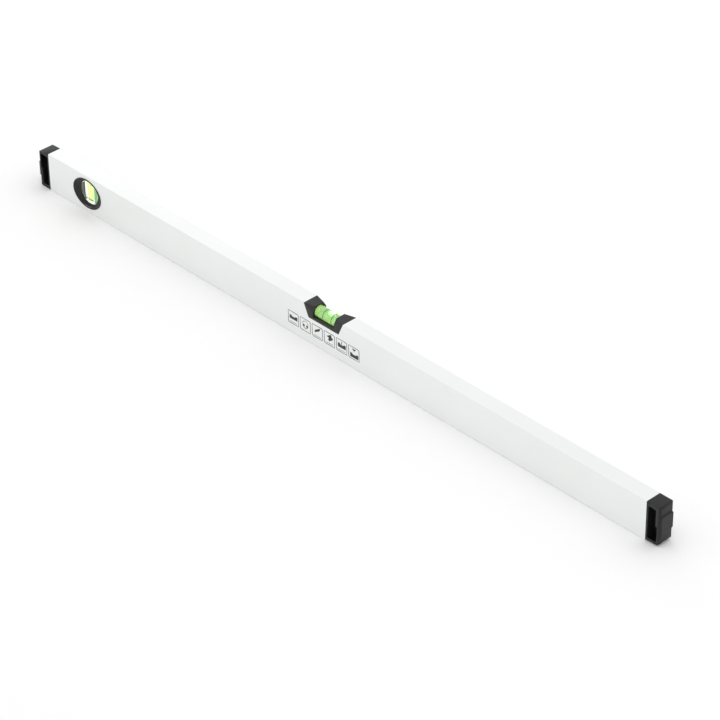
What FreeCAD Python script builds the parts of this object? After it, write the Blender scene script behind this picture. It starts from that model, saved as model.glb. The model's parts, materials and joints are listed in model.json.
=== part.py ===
"""Magnetic spirit level, 1 m, in a 20.5 x 50 mm aluminium box section.

The frame's origin is at the middle of the base. X runs along the level, Y from the
printed front side to the back, and Z up from the milled base to the top face.
All lengths are in millimetres.
"""

import FreeCAD
import Part
import os

import Sketcher

SIZES = {
    # Box section
    "overall_length": 1000.0,
    "section_width": 20.5,
    "section_height": 50.0,
    "side_wall": 1.3,
    "top_wall": 1.6,
    "base_wall": 2.2,
    "outer_edge_radius": 0.8,
    "inner_edge_radius": 0.5,
    # End caps
    "cap_length": 18.75,
    "cap_base_lift": 1.2,
    "cap_corner_radius": 2.6,
    "cap_top_rim_radius": 3.2,
    "cap_low_rim_radius": 5.0,
    "cap_base_taper": 1.2,
    "cap_flange": 2.4,
    "cap_plate_upper": 6.0,
    "cap_plate_lower": 3.8,
    "cap_pocket_depth": 8.6,
    "cap_pocket_floor": 3.7,
    "cap_pocket_drop": 24.4,
    "cap_pocket_roof": 4.6,
    "cap_pocket_radius": 1.6,
    "pad_rise": 1.5,
    "pad_width": 18.2,
    "pad_height": 20.6,
    "pad_lift": 2.8,
    "pad_radius": 1.8,
    "plug_length": 24.0,
    "plug_wall": 1.7,
    "plug_clearance": 0.15,
    "plug_rib": 1.5,
    # Saddle for the level vial
    "saddle_top_length": 63.0,
    "saddle_foot_length": 48.4,
    "saddle_height": 16.25,
    "saddle_clearance": 0.1,
    "saddle_window_length": 33.8,
    "saddle_bar_height": 3.0,
    "saddle_side_wall": 2.6,
    "saddle_trough_sink": 1.35,
    "saddle_keel_length": 45.0,
    "saddle_keel_height": 4.35,
    "facet_width": 3.95,
    "facet_depth": 6.6,
    "core_length": 4.0,
    "core_depth": 10.0,
    # Level vial
    "vial_radius": 7.0,
    "vial_length": 44.6,
    "vial_sink": 8.9,
    "vial_seat_clearance": 0.1,
    "bore_end_radius": 4.75,
    "bore_middle_radius": 4.95,
    "bore_length": 36.7,
    "vial_plug_length": 4.0,
    "vial_plug_clearance": 0.05,
    "bubble_length": 11.0,
    "bubble_width": 7.0,
    "bubble_depth": 4.0,
    "bubble_sink": 0.4,
    "bubble_offset": 2.0,
    # Plumb vial and its bezels
    "plumb_setback": 91.0,
    "plumb_lift": 0.9,
    "bezel_length": 49.9,
    "bezel_height": 39.0,
    "bezel_rise": 0.8,
    "bezel_lip": 1.1,
    "bezel_overlap": 1.8,
    "bezel_clearance": 0.15,
    "window_length": 31.8,
    "window_height": 30.6,
    "window_depth": 2.85,
    "funnel_wall": 1.6,
    "tunnel_wall": 1.4,
    "tunnel_gap": 0.05,
    "block_depth": 14.0,
    "block_corner_radius": 7.0,
    "block_face_rise": 0.9,
    "block_clearance": 0.1,
    "plumb_bore_floor": 4.2,
    "plumb_plug_sink": 0.9,
    "plumb_plug_length": 3.0,
    "plumb_bubble_height": 1.9,
    # Magnets and their cups
    "magnet_radius": 6.0,
    "magnet_height": 5.0,
    "magnet_inner_setback": 380.0,
    "magnet_outer_setback": 170.0,
    "magnet_clearance": 0.05,
    "cup_wall": 1.2,
    "cup_lift": 0.1,
    "cup_flange_reach": 1.15,
    "cup_flange_height": 1.2,
    "cup_roof": 1.3,
    "cup_clearance": 0.1,
}

document = FreeCAD.newDocument("spirit_level")


class Size:
    """A length that knows both its value and the sheet expression that gives it."""

    def __init__(self, value, text):
        self.value = value
        self.text = text

    def joined(self, other, sign, value):
        return Size(value, "(" + self.text + " " + sign + " " + size_of(other).text + ")")

    def __add__(self, other):
        return self.joined(other, "+", self.value + size_of(other).value)

    def __sub__(self, other):
        return self.joined(other, "-", self.value - size_of(other).value)

    def __mul__(self, other):
        return self.joined(other, "*", self.value * size_of(other).value)

    def __truediv__(self, other):
        return self.joined(other, "/", self.value / size_of(other).value)

    def __neg__(self):
        return size_of(0) - self


def size_of(number):
    """The number as a Size, or the Size itself."""
    if isinstance(number, Size):
        return number
    return Size(float(number), repr(float(number)))


def make_sheet():
    """Fills the sheet of driving dimensions and returns its sizes by name."""
    sheet = document.addObject("Spreadsheet::Sheet", "Sizes")
    found = {}
    for row, (name, value) in enumerate(SIZES.items(), start=1):
        sheet.set("A%d" % row, name)
        sheet.set("B%d" % row, str(value))
        sheet.setAlias("B%d" % row, name)
        found[name] = Size(value, "Sizes." + name)
    document.recompute()
    return found


def bind(item, **properties):
    """Binds each named property of the object to a Size."""
    for name, length in properties.items():
        item.setExpression(name, size_of(length).text)
    return item


def place(item, x=0, y=0, z=0):
    """Binds the object's position to three Sizes."""
    for axis, length in (("x", x), ("y", y), ("z", z)):
        item.setExpression("Placement.Base." + axis, size_of(length).text)
    return item


def constrain(sketch, kind, *where, length):
    """Adds one dimension to the sketch and binds it to a Size."""
    length = size_of(length)
    index = sketch.addConstraint(Sketcher.Constraint(kind, *where, length.value))
    sketch.setExpression("Constraints[%d]" % index, length.text)


def pin_point(sketch, geometry, point, across, up):
    """Fixes one end of a line or an arc at a place given by two Sizes."""
    constrain(sketch, "DistanceX", -1, 1, geometry, point, length=across)
    constrain(sketch, "DistanceY", -1, 1, geometry, point, length=up)


def vector(across, up):
    """The sketch point at two Sizes."""
    return FreeCAD.Vector(size_of(across).value, size_of(up).value, 0)


def polygon(sketch, corners):
    """Draws a closed outline of straight lines through the corners."""
    first = sketch.GeometryCount
    count = len(corners)
    for index in range(count):
        start = vector(*corners[index])
        end = vector(*corners[(index + 1) % count])
        sketch.addGeometry(Part.LineSegment(start, end), False)
    for index in range(count):
        following = first + (index + 1) % count
        sketch.addConstraint(Sketcher.Constraint("Coincident", first + index, 2, following, 1))
        pin_point(sketch, first + index, 1, *corners[index])


def rounded_rectangle(sketch, left, right, low, high, radius):
    """Draws a rectangle whose four corners are arcs of one radius."""
    first = sketch.GeometryCount
    corners = (
        (left, low, 1, 1, 180),
        (right, low, -1, 1, 270),
        (right, high, -1, -1, 0),
        (left, high, 1, -1, 90),
    )
    for across, up, inward_x, inward_y, start in corners:
        centre = vector(across + radius * inward_x, up + radius * inward_y)
        circle = Part.Circle(centre, FreeCAD.Vector(0, 0, 1), radius.value)
        turn = FreeCAD.Units.Quantity("1 deg").getValueAs("rad").Value
        sketch.addGeometry(Part.ArcOfCircle(circle, start * turn, (start + 90) * turn), False)
    ends = []
    for index, (across, up, inward_x, inward_y, _) in enumerate(corners):
        beside = (across, up + radius * inward_y)
        under = (across + radius * inward_x, up)
        ends.append((beside, under) if index in (0, 2) else (under, beside))
    for index in range(4):
        start = vector(*ends[index][1])
        end = vector(*ends[(index + 1) % 4][0])
        sketch.addGeometry(Part.LineSegment(start, end), False)
    for index in range(4):
        arc = first + index
        line = first + 4 + index
        following = first + (index + 1) % 4
        sketch.addConstraint(Sketcher.Constraint("Coincident", arc, 2, line, 1))
        sketch.addConstraint(Sketcher.Constraint("Coincident", line, 2, following, 1))
        pin_point(sketch, arc, 1, *ends[index][0])
        pin_point(sketch, arc, 2, *ends[index][1])
        constrain(sketch, "Radius", arc, length=radius)


def circle_at(sketch, across, up, radius):
    """Draws a circle with its centre at two Sizes."""
    index = sketch.GeometryCount
    circle = Part.Circle(vector(across, up), FreeCAD.Vector(0, 0, 1), size_of(radius).value)
    sketch.addGeometry(circle, False)
    pin_point(sketch, index, 3, across, up)
    constrain(sketch, "Radius", index, length=radius)


def body_sketch(body, name, plane, offset=0):
    """Starts a sketch of the body on one of its own origin planes, moved by a Size."""
    sketch = body.newObject("Sketcher::SketchObject", name)
    found = [item for item in body.Origin.OriginFeatures if item.Role == plane]
    sketch.AttachmentSupport = [(found[0], "")]
    sketch.MapMode = "FlatFace"
    sketch.setExpression("AttachmentOffset.Base.z", size_of(offset).text)
    return sketch


def free_sketch(name, plane, offset=0):
    """Starts a sketch outside any body, on a plane through the origin moved by a Size."""
    sketch = document.addObject("Sketcher::SketchObject", name)
    turns = {
        "XY": FreeCAD.Rotation(0, 0, 0),
        "XZ": FreeCAD.Rotation(FreeCAD.Vector(1, 0, 0), 90),
        "YZ": FreeCAD.Rotation(FreeCAD.Vector(1, 1, 1), 120),
    }
    axis = {"XY": "z", "XZ": "y", "YZ": "x"}[plane]
    sketch.Placement = FreeCAD.Placement(FreeCAD.Vector(), turns[plane])
    sketch.setExpression("Placement.Base." + axis, size_of(offset).text)
    return sketch


def feature(body, kind, name, sketch, length, both_ways=False, reverse=False):
    """Pads or pockets a sketch of the body by a Size."""
    made = body.newObject("PartDesign::" + kind, name)
    made.Profile = sketch
    made.SideType = "Symmetric" if both_ways else "One side"
    made.Reversed = reverse
    bind(made, Length=length)
    document.recompute()
    return made


def joined(kind, name, *items):
    """Fuses several objects, or cuts the later ones from the first."""
    if kind == "Cut":
        made = document.addObject("Part::Cut", name)
        made.Base = items[0]
        made.Tool = items[1]
    else:
        made = document.addObject("Part::MultiFuse" if kind == "Fuse" else "Part::MultiCommon", name)
        made.Shapes = list(items)
    document.recompute()
    return made


def mirrored(name, source, normal):
    """A mirror image of the object across a plane through the origin."""
    made = document.addObject("Part::Mirroring", name)
    made.Source = source
    made.Base = FreeCAD.Vector()
    made.Normal = normal
    document.recompute()
    return made


def box(name, length, width, height, x, y, z):
    """A box with its low corner at x, y and z."""
    made = document.addObject("Part::Box", name)
    bind(made, Length=length, Width=width, Height=height)
    return place(made, x, y, z)


def cylinder(name, radius, height, x=0, y=0, z=0, along="z"):
    """A cylinder that starts at x, y and z and runs along the named axis."""
    made = document.addObject("Part::Cylinder", name)
    bind(made, Radius=radius, Height=height)
    if along == "x":
        made.Placement = FreeCAD.Placement(FreeCAD.Vector(), FreeCAD.Rotation(FreeCAD.Vector(0, 1, 0), 90))
    return place(made, x, y, z)


def turned(name, sketch, axis, base):
    """Revolves a sketch by a full turn about a line along the axis."""
    made = document.addObject("Part::Revolution", name)
    made.Source = sketch
    made.Axis = axis
    made.Angle = 360
    made.Solid = True
    for letter, length in zip("xyz", base):
        made.setExpression("Base." + letter, size_of(length).text)
    document.recompute()
    return made


def barrel_outline(sketch, end_radius, middle_radius, low, high, axis_place, upright):
    """Half of a barrel shape beside its axis: straight ends and one long outer arc."""
    rise = middle_radius - end_radius
    half = (high - low) / 2
    radius = (half * half + rise * rise) / (rise * 2)
    centre_reach = middle_radius - radius

    def corner(reach, station):
        return (axis_place + reach, station) if upright else (station, axis_place + reach)

    ends = (low, high) if upright else (high, low)
    arc_start = corner(end_radius, ends[0])
    arc_end = corner(end_radius, ends[1])
    axis_start = corner(size_of(0), ends[0])
    axis_end = corner(size_of(0), ends[1])
    centre = vector(*corner(centre_reach, (low + high) / 2))
    first = sketch.GeometryCount
    circle = Part.Circle(centre, FreeCAD.Vector(0, 0, 1), radius.value)
    start_turn = circle.parameter(vector(*arc_start))
    end_turn = circle.parameter(vector(*arc_end))
    sketch.addGeometry(Part.ArcOfCircle(circle, start_turn, end_turn), False)
    sketch.addGeometry(Part.LineSegment(vector(*arc_end), vector(*axis_end)), False)
    sketch.addGeometry(Part.LineSegment(vector(*axis_end), vector(*axis_start)), False)
    sketch.addGeometry(Part.LineSegment(vector(*axis_start), vector(*arc_start)), False)
    for index in range(4):
        following = first + (index + 1) % 4
        sketch.addConstraint(Sketcher.Constraint("Coincident", first + index, 2, following, 1))
    pin_point(sketch, first, 1, *arc_start)
    pin_point(sketch, first, 2, *arc_end)
    pin_point(sketch, first + 2, 1, *axis_end)
    pin_point(sketch, first + 2, 2, *axis_start)
    constrain(sketch, "Radius", first, length=radius)


def oval(name, long_radius, high_radius, depth, centre):
    """An upright ellipse facing the front, at the given depth in Y."""
    made = document.addObject("Part::Ellipse", name)
    bind(made, MajorRadius=long_radius, MinorRadius=high_radius)
    made.Placement = FreeCAD.Placement(FreeCAD.Vector(), FreeCAD.Rotation(FreeCAD.Vector(1, 0, 0), 90))
    return place(made, centre[0], depth, centre[1])


def oval_solid(name, sections, centre):
    """A solid skinned through upright ellipses, each given as long radius, high radius and depth."""
    made = document.addObject("Part::Loft", name)
    ovals = []
    for index, (long_radius, high_radius, depth) in enumerate(sections, start=1):
        ovals.append(oval("%s_oval_%d" % (name, index), long_radius, high_radius, depth, centre))
    made.Sections = ovals
    made.Solid = True
    made.Ruled = True
    document.recompute()
    return made


def rounded_block(name, length, height, radius, front, back, centre):
    """A block with rounded corners, given by its radius, size and the depths of its two faces."""
    outline = free_sketch(name + "_outline", "XZ", front)
    across, up = centre
    rounded_rectangle(
        outline, across - length / 2, across + length / 2, up - height / 2, up + height / 2, radius
    )
    made = document.addObject("Part::Extrusion", name)
    made.Base = outline
    made.DirMode = "Custom"
    made.Dir = FreeCAD.Vector(0, 1, 0)
    made.Solid = True
    bind(made, LengthFwd=back - front)
    document.recompute()
    return made


def make_profile(size, plumb_centre):
    """The aluminium box section with its cut-outs."""
    half_width = size["section_width"] / 2
    half_length = size["overall_length"] / 2 - size["pad_rise"] - size["cap_length"]
    body = document.addObject("PartDesign::Body", "profile_section")

    section = body_sketch(body, "section_outline", "YZ_Plane")
    rounded_rectangle(
        section, -half_width, half_width, size_of(0), size["section_height"], size["outer_edge_radius"]
    )
    rounded_rectangle(
        section,
        size["side_wall"] - half_width,
        half_width - size["side_wall"],
        size["base_wall"],
        size["section_height"] - size["top_wall"],
        size["inner_edge_radius"],
    )
    feature(body, "Pad", "section_length", section, half_length * 2, both_ways=True)

    top = size["saddle_top_length"] / 2 + size["saddle_clearance"]
    foot = size["saddle_foot_length"] / 2 + size["saddle_clearance"]
    cut = body_sketch(body, "saddle_cut_outline", "XZ_Plane")
    slope = (top - foot) / size["saddle_height"]
    over = size["section_height"] + size["outer_edge_radius"]
    reach = top + slope * size["outer_edge_radius"]
    polygon(
        cut,
        [
            (-foot, saddle_foot(size)),
            (foot, saddle_foot(size)),
            (reach, over),
            (-reach, over),
        ],
    )
    feature(body, "Pocket", "saddle_cut", cut, size["section_width"] * 2, both_ways=True)

    holes = body_sketch(body, "magnet_holes_outline", "XY_Plane")
    for station in magnet_stations(size):
        circle_at(holes, station, size_of(0), cup_boss_radius(size) + size["cup_clearance"])
    feature(body, "Pocket", "magnet_holes", holes, size["base_wall"] * 2, both_ways=True)

    long_radius, high_radius = bezel_hole(size)
    hole = oval_solid(
        "bezel_holes",
        [(long_radius, high_radius, -half_width * 2), (long_radius, high_radius, half_width * 2)],
        plumb_centre,
    )
    return joined("Cut", "profile", body, hole)


def magnet_stations(size):
    """Where the magnets stand along the level, from left to right."""
    half_length = size["overall_length"] / 2
    outer = half_length - size["magnet_outer_setback"]
    inner = half_length - size["magnet_inner_setback"]
    return -outer, -inner, inner, outer


def saddle_foot(size):
    """The level of the cut-out's floor, which the saddle stands on."""
    return size["section_height"] - size["saddle_height"]


def vial_level(size):
    """The level of the round vial's axis."""
    return size["section_height"] - size["vial_sink"]


def bezel_hole(size):
    """The radii of the oval hole that each side of the section has for its bezel."""
    long_radius = size["bezel_length"] / 2 - size["bezel_overlap"]
    high_radius = size["bezel_height"] / 2 - size["bezel_overlap"]
    return long_radius, high_radius


def cup_boss_radius(size):
    """The radius of the part of a magnet cup that stands in the base."""
    return size["magnet_radius"] + size["magnet_clearance"] + size["cup_wall"]


def trim_around(body, name, plane, low, high, size, radius):
    """Cuts away what lies outside an outline that is rounded where it meets the cap's end."""
    end = size["cap_length"]
    far = end * 2
    outline = body_sketch(body, name + "_outline", plane)
    if plane == "XY_Plane":
        polygon(outline, [(-far, low * 2), (far, low * 2), (far, high * 2), (-far, high * 2)])
    else:
        polygon(outline, [(-far, low - far), (far, low - far), (far, high + far), (-far, high + far)])
    rounded_rectangle(outline, -end, end, low, high, radius)
    feature(body, "Pocket", name, outline, size["section_height"] * 3, both_ways=True)


def make_end_cap(size, name, side):
    """An end cap, built on the section's end with X outward; side is 1 on the right and -1 on the left.

    Both caps are the same moulding, so the left one is turned upside down.
    """
    half_width = size["section_width"] / 2
    top = size["section_height"]
    body = document.addObject("PartDesign::Body", name)

    outline = body_sketch(body, name + "_outline", "YZ_Plane")
    rounded_rectangle(
        outline, -half_width, half_width, size["cap_base_lift"], top, size["outer_edge_radius"]
    )
    feature(body, "Pad", name + "_block", outline, size["cap_length"])
    corner = size["cap_corner_radius"]
    trim_around(body, name + "_corners", "XY_Plane", -half_width, half_width, size, corner)
    foot = size["cap_base_lift"]
    trim_around(body, name + "_top_rim", "XZ_Plane", foot - top, top, size, size["cap_top_rim_radius"])
    trim_around(body, name + "_low_rim", "XZ_Plane", foot, top * 2, size, size["cap_low_rim_radius"])
    wedge = body_sketch(body, name + "_taper_outline", "XZ_Plane")
    wedge_end = foot + size["cap_base_taper"]
    polygon(
        wedge,
        [
            (size_of(0), foot),
            (size["cap_length"], wedge_end),
            (size["cap_length"], size_of(0)),
            (size_of(0), size_of(0)),
        ],
    )
    feature(body, "Pocket", name + "_taper", wedge, top * 3, both_ways=True)

    near = size["cap_flange"]
    upper = size["cap_length"] - size["cap_plate_upper"]
    lower = size["cap_length"] - size["cap_plate_lower"]
    ramp = size["cap_plate_upper"] - size["cap_plate_lower"]
    radius = size["cap_pocket_radius"]
    pocket_low = size["cap_base_lift"] + size["cap_pocket_floor"]
    pocket_step = top - size["cap_pocket_drop"]
    pocket_high = top - size["cap_pocket_roof"]
    for face, label in ((-1, "front"), (1, "back")):
        pocket = body_sketch(body, "%s_%s_pocket_outline" % (name, label), "XZ_Plane", half_width * -face)
        polygon(
            pocket,
            [
                (near + radius, pocket_low),
                (lower - radius, pocket_low),
                (lower, pocket_low + radius),
                (lower, pocket_step - ramp),
                (upper, pocket_step),
                (upper, pocket_high - radius),
                (upper - radius, pocket_high),
                (near + radius, pocket_high),
                (near, pocket_high - radius),
                (near, pocket_low + radius),
            ],
        )
        depth = size["cap_pocket_depth"]
        feature(body, "Pocket", "%s_%s_pocket" % (name, label), pocket, depth, reverse=face > 0)

    pad_low = (top - size["pad_height"]) / 2 + size["pad_lift"]
    pad = body_sketch(body, name + "_pad_outline", "YZ_Plane", size["cap_length"] - corner)
    pad_side = size["pad_width"] / 2
    rounded_rectangle(pad, -pad_side, pad_side, pad_low, pad_low + size["pad_height"], size["pad_radius"])
    feature(body, "Pad", name + "_pad", pad, corner + size["pad_rise"])

    plug_half = half_width - size["side_wall"] - size["plug_clearance"]
    plug_low = size["base_wall"] + size["plug_clearance"]
    plug_high = top - plug_low
    plug = body_sketch(body, name + "_plug_outline", "YZ_Plane")
    rounded_rectangle(plug, -plug_half, plug_half, plug_low, plug_high, size["inner_edge_radius"] * 2)
    rounded_rectangle(
        plug,
        size["plug_wall"] - plug_half,
        plug_half - size["plug_wall"],
        plug_low + size["plug_wall"],
        plug_high - size["plug_wall"],
        size["inner_edge_radius"],
    )
    feature(body, "Pad", name + "_plug", plug, size["plug_length"], reverse=True)

    rib = body_sketch(body, name + "_rib_outline", "YZ_Plane")
    middle = (plug_low + plug_high) / 2
    polygon(
        rib,
        [
            (size["plug_wall"] / 2 - plug_half, middle - size["plug_rib"] / 2),
            (plug_half - size["plug_wall"] / 2, middle - size["plug_rib"] / 2),
            (plug_half - size["plug_wall"] / 2, middle + size["plug_rib"] / 2),
            (size["plug_wall"] / 2 - plug_half, middle + size["plug_rib"] / 2),
        ],
    )
    feature(body, "Pad", name + "_rib", rib, size["plug_length"], reverse=True)

    body.Placement = FreeCAD.Placement(
        FreeCAD.Vector(), FreeCAD.Rotation(FreeCAD.Vector(0, 1, 0), 0 if side > 0 else 180)
    )
    half_length = size["overall_length"] / 2 - size["pad_rise"] - size["cap_length"]
    place(body, half_length * side, z=0 if side > 0 else top)
    return body


def make_saddle(size):
    """The moulding that carries the level vial in the cut-out of the section."""
    half_width = size["section_width"] / 2
    top = size["section_height"]
    foot = saddle_foot(size)
    floor = foot - size["saddle_trough_sink"]
    keel_level = foot - size["saddle_keel_height"]
    bar = foot + size["saddle_bar_height"]
    window = size["saddle_window_length"] / 2
    body = document.addObject("PartDesign::Body", "saddle_block")

    outline = body_sketch(body, "saddle_outline", "XZ_Plane")
    polygon(
        outline,
        [
            (-size["saddle_foot_length"] / 2, foot),
            (size["saddle_foot_length"] / 2, foot),
            (size["saddle_top_length"] / 2, top),
            (-size["saddle_top_length"] / 2, top),
        ],
    )
    feature(body, "Pad", "saddle_width", outline, size["section_width"], both_ways=True)

    keel_half = half_width - size["side_wall"] - size["plug_clearance"]
    keel = body_sketch(body, "saddle_keel_outline", "XY_Plane", keel_level)
    half_keel = size["saddle_keel_length"] / 2
    rounded_rectangle(keel, -half_keel, half_keel, -keel_half, keel_half, size["inner_edge_radius"] * 2)
    feature(body, "Pad", "saddle_keel", keel, size["saddle_keel_height"] + size["saddle_bar_height"] / 2)

    gap = body_sketch(body, "saddle_window_outline", "XZ_Plane")
    polygon(gap, [(-window, bar), (window, bar), (window, top * 1.1), (-window, top * 1.1)])
    feature(body, "Pocket", "saddle_window", gap, size["section_width"] * 2, both_ways=True)

    trough_half = half_width - size["saddle_side_wall"]
    trough = body_sketch(body, "saddle_trough_outline", "XY_Plane", floor)
    polygon(
        trough,
        [(-window, -trough_half), (window, -trough_half), (window, trough_half), (-window, trough_half)],
    )
    feature(body, "Pocket", "saddle_trough", trough, top, reverse=True)

    seat_radius = size["vial_radius"] + size["vial_seat_clearance"]
    seat_end = size["vial_length"] / 2 + size["vial_seat_clearance"]
    seat = cylinder(
        "saddle_seat", seat_radius, seat_end * 2 + size["saddle_top_length"] / 2,
        x=-seat_end - size["saddle_top_length"] / 2, z=vial_level(size), along="x",
    )
    cores = []
    for side in (-1, 1):
        start = (half_keel - size["core_length"] - size["plug_wall"]) * side
        cores.append(
            box(
                "saddle_core_left" if side < 0 else "saddle_core_right",
                size["core_length"],
                (keel_half - size["plug_wall"]) * 2,
                floor - keel_level - size["plug_wall"],
                start if side > 0 else start - size["core_length"],
                size["plug_wall"] - keel_half,
                keel_level,
            )
        )
    return joined("Cut", "saddle", body, joined("Fuse", "saddle_cuts", seat, *cores, *make_facets(size)))


def make_facets(size):
    """The four slanting facets that open the saddle's ends towards the vial."""
    half_width = size["section_width"] / 2
    top = size["section_height"]
    triangle = free_sketch("facet_outline", "YZ", size["saddle_window_length"] / 2)
    polygon(
        triangle,
        [
            (half_width - size["facet_width"], top),
            (half_width, top - size["facet_depth"]),
            (half_width, top),
        ],
    )
    corner = document.addObject("Part::Vertex", "facet_corner")
    bind(corner, X=size["saddle_top_length"] / 2, Y=half_width, Z=top)
    first = document.addObject("Part::Loft", "facet_1")
    first.Sections = [triangle, corner]
    first.Solid = True
    first.Ruled = True
    document.recompute()
    second = mirrored("facet_2", first, FreeCAD.Vector(0, 1, 0))
    third = mirrored("facet_3", first, FreeCAD.Vector(1, 0, 0))
    fourth = mirrored("facet_4", second, FreeCAD.Vector(1, 0, 0))
    return [first, second, third, fourth]


def make_level_vial(size):
    """The round vial that lies in the saddle: body, plug, and liquid with its bubble."""
    half = size["vial_length"] / 2
    level = vial_level(size)
    plug_end = size["vial_plug_length"] - half
    bore_end = plug_end + size["bore_length"]
    plug_radius = size["bore_end_radius"] - size["vial_plug_clearance"]

    outside = cylinder("level_vial_outside", size["vial_radius"], half * 2, x=-half, z=level, along="x")
    mouth = cylinder(
        "level_vial_mouth", size["bore_end_radius"], size["vial_plug_length"], x=-half, z=level, along="x"
    )
    inside = barrel("level_vial_inside", size, plug_end, bore_end, level, upright=False)
    body = joined("Cut", "level_vial_body", outside, joined("Fuse", "level_vial_bore", mouth, inside))

    plug = cylinder("level_vial_plug", plug_radius, size["vial_plug_length"], x=-half, z=level, along="x")

    bubble = document.addObject("Part::Ellipsoid", "level_bubble")
    bind(
        bubble,
        Radius1=size["bubble_depth"] / 2,
        Radius2=size["bubble_length"] / 2,
        Radius3=size["bubble_width"] / 2,
    )
    place(
        bubble,
        (plug_end + bore_end) / 2 + size["bubble_offset"],
        0,
        level + size["bore_middle_radius"] - size["bubble_depth"] / 2 + size["bubble_sink"],
    )
    filling = barrel("level_vial_filling", size, plug_end, bore_end, level, upright=False)
    liquid = joined("Cut", "level_vial_liquid", filling, bubble)
    return [body, plug, liquid]


def barrel(name, size, low, high, axis_place, upright, across=0):
    """A barrel-shaped solid between two stations of its axis, which is level or upright."""
    if upright:
        sketch = free_sketch(name + "_outline", "XZ")
        base = (across, 0, 0)
        axis = FreeCAD.Vector(0, 0, 1)
        beside = across
    else:
        sketch = free_sketch(name + "_outline", "XZ")
        base = (0, 0, axis_place)
        axis = FreeCAD.Vector(1, 0, 0)
        beside = axis_place
    barrel_outline(
        sketch, size["bore_end_radius"], size["bore_middle_radius"], low, high, beside, upright
    )
    return turned(name, sketch, axis, base)


def make_plumb_bezels(size, centre):
    """The two oval bezels, with the funnels and the tunnel that hold the plumb vial."""
    face = size["section_width"] / 2
    outer = (size["bezel_length"] / 2, size["bezel_height"] / 2)
    lip = (outer[0] - size["bezel_lip"], outer[1] - size["bezel_lip"])
    hole = bezel_hole(size)
    spigot = (hole[0] - size["bezel_clearance"], hole[1] - size["bezel_clearance"])
    window = (size["window_length"] / 2, size["window_height"] / 2)
    play = size["block_clearance"] + size["tunnel_wall"]
    funnel_end = (window[0] + play, window[1] + play)
    throat = -face + size["window_depth"]
    rise = -face - size["bezel_rise"]

    flange = oval_solid("bezel_flange", [(*outer, rise), (*outer, -face)], centre)
    shoulder = -face + size["side_wall"]
    spigot_ring = oval_solid("bezel_spigot", [(*spigot, -face), (*spigot, shoulder)], centre)
    funnel = oval_solid(
        "bezel_funnel", [(*spigot, shoulder), (*funnel_end, throat + size["funnel_wall"])], centre
    )
    tunnel_end = -size["tunnel_gap"]
    tube = rounded_block(
        "bezel_tube", window[0] * 2 + play * 2, window[1] * 2 + play * 2,
        size["block_corner_radius"] + play, throat, tunnel_end, centre,
    )
    limit = oval_solid("bezel_tube_limit", [(*spigot, throat), (*spigot, tunnel_end)], centre)
    tunnel = joined("Common", "bezel_tunnel", tube, limit)
    solid = joined("Fuse", "bezel_solid", flange, spigot_ring, funnel, tunnel)
    mouth = oval_solid("bezel_mouth", [(*lip, rise), (*window, throat)], centre)
    ledge = size["block_face_rise"] - size["block_depth"] / 2 - size["block_clearance"]
    passage = oval_solid("bezel_passage", [(*window, throat), (*window, ledge)], centre)
    room = size["block_clearance"] * 2
    chamber = rounded_block(
        "bezel_chamber", size["window_length"] + room, size["window_height"] + room,
        size["block_corner_radius"] + size["block_clearance"], ledge, size["tunnel_gap"], centre,
    )
    hollows = joined("Fuse", "bezel_hollows", mouth, passage, chamber)
    front = joined("Cut", "plumb_bezel_front", solid, hollows)
    back = mirrored("plumb_bezel_back", front, FreeCAD.Vector(0, 1, 0))
    return [front, back]


def make_plumb_vial(size, centre):
    """The block vial with its two oval faces: body, plug and liquid, with the bubble's room at its top."""
    across, level = centre
    low = level - size["window_height"] / 2
    high = level + size["window_height"] / 2
    floor = low + size["plumb_bore_floor"]
    plug_low = high - size["plumb_plug_sink"] - size["plumb_plug_length"]

    half_depth = size["block_depth"] / 2
    slab_depth = half_depth - size["block_face_rise"]
    slab = rounded_block(
        "plumb_slab", size["window_length"], size["window_height"],
        size["block_corner_radius"], -slab_depth, slab_depth, centre,
    )
    reach = (
        size["window_length"] / 2 - size["block_clearance"],
        size["window_height"] / 2 - size["block_clearance"],
    )
    faces = oval_solid("plumb_faces", [(*reach, -half_depth), (*reach, half_depth)], centre)
    block = joined("Fuse", "plumb_block", slab, faces)
    mouth_length = size["plumb_plug_length"] + size["plumb_plug_sink"] * 2
    mouth = cylinder("plumb_mouth", size["bore_end_radius"], mouth_length, x=across, z=plug_low)
    inside = barrel("plumb_inside", size, floor, plug_low, level, upright=True, across=across)
    body = joined("Cut", "plumb_vial_body", block, joined("Fuse", "plumb_bore", mouth, inside))

    plug_radius = size["bore_end_radius"] - size["vial_plug_clearance"]
    plug = cylinder("plumb_vial_plug", plug_radius, size["plumb_plug_length"], x=across, z=plug_low)

    filling = barrel("plumb_filling", size, floor, plug_low, level, upright=True, across=across)
    bubble = cylinder(
        "plumb_bubble", size["block_depth"] / 2, size["plumb_bubble_height"] * 2,
        x=across, z=plug_low - size["plumb_bubble_height"],
    )
    liquid = joined("Cut", "plumb_vial_liquid", filling, bubble)
    return [body, plug, liquid]


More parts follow.
